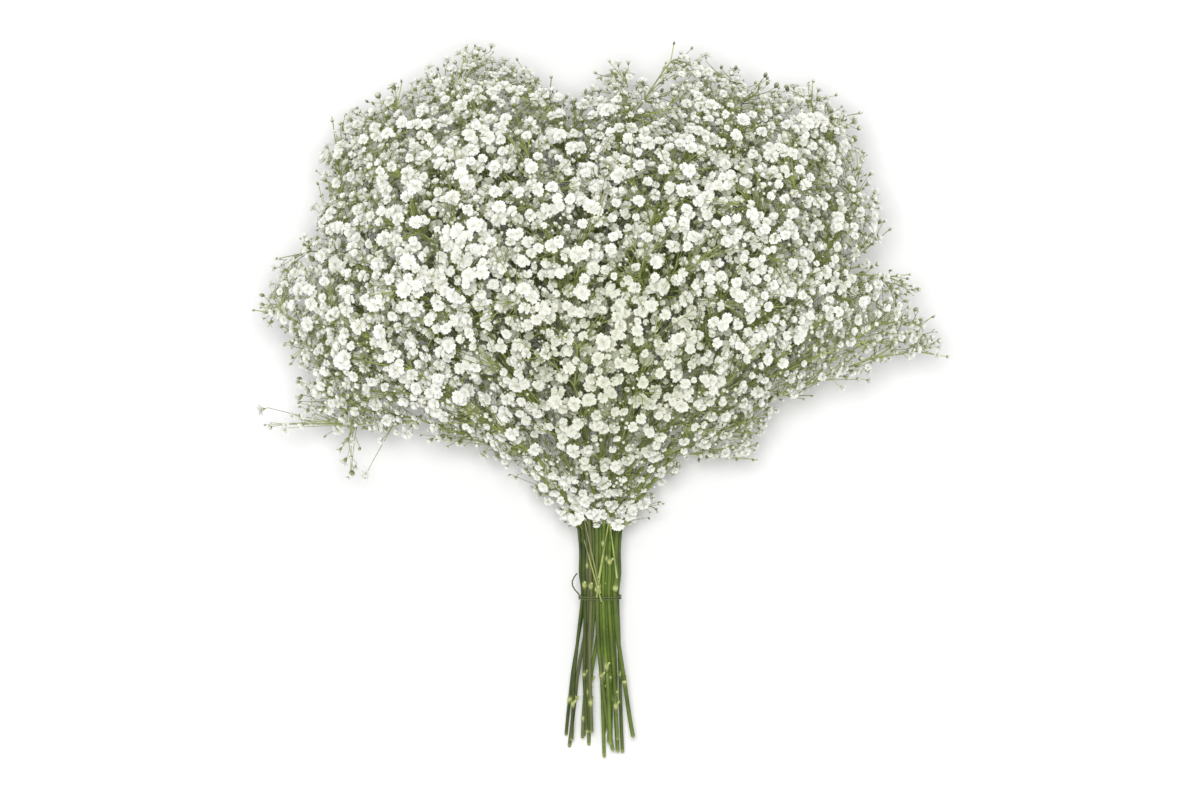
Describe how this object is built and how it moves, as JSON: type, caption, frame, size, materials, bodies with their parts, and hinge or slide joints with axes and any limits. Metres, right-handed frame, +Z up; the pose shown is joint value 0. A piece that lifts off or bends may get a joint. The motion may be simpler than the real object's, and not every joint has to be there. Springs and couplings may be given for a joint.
{
  "type": "gypsophila bunch",
  "caption": "Hand-tied bunch of double white gypsophila lying down: bare stems bound at a narrow neck, fanning into an airy crown of small flowers and buds.",
  "frame": {"origin": "on the table, under the middle of the bunch's bounding box", "axes": "+Y from the cut ends towards the crown, +X to the right as seen from above, +Z up from the table"},
  "size_m": [0.5227, 0.5371, 0.2208],
  "materials": {
    "plant_green": "matt fresh green stems and twigs",
    "petal_white": "matt white petals, slightly cream",
    "bud_cream": "matt cream and green closed buds",
    "tie_thread": "matt grey-green thread"
  },
  "bodies": {
    "root": {"spray_01": "plant_green", "spray_02": "plant_green", "spray_03": "plant_green", "spray_04": "plant_green", "spray_05": "plant_green", "spray_06": "plant_green", "spray_07": "plant_green", "spray_08": "plant_green", "spray_09": "plant_green", "spray_10": "plant_green", "spray_11": "plant_green", "spray_12": "plant_green", "spray_13": "plant_green", "spray_14": "plant_green", "spray_15": "plant_green", "spray_16": "plant_green", "spray_17": "plant_green", "spray_18": "plant_green", "spray_19": "plant_green", "tie_thread": "tie_thread"}
  },
  "joints": []
}
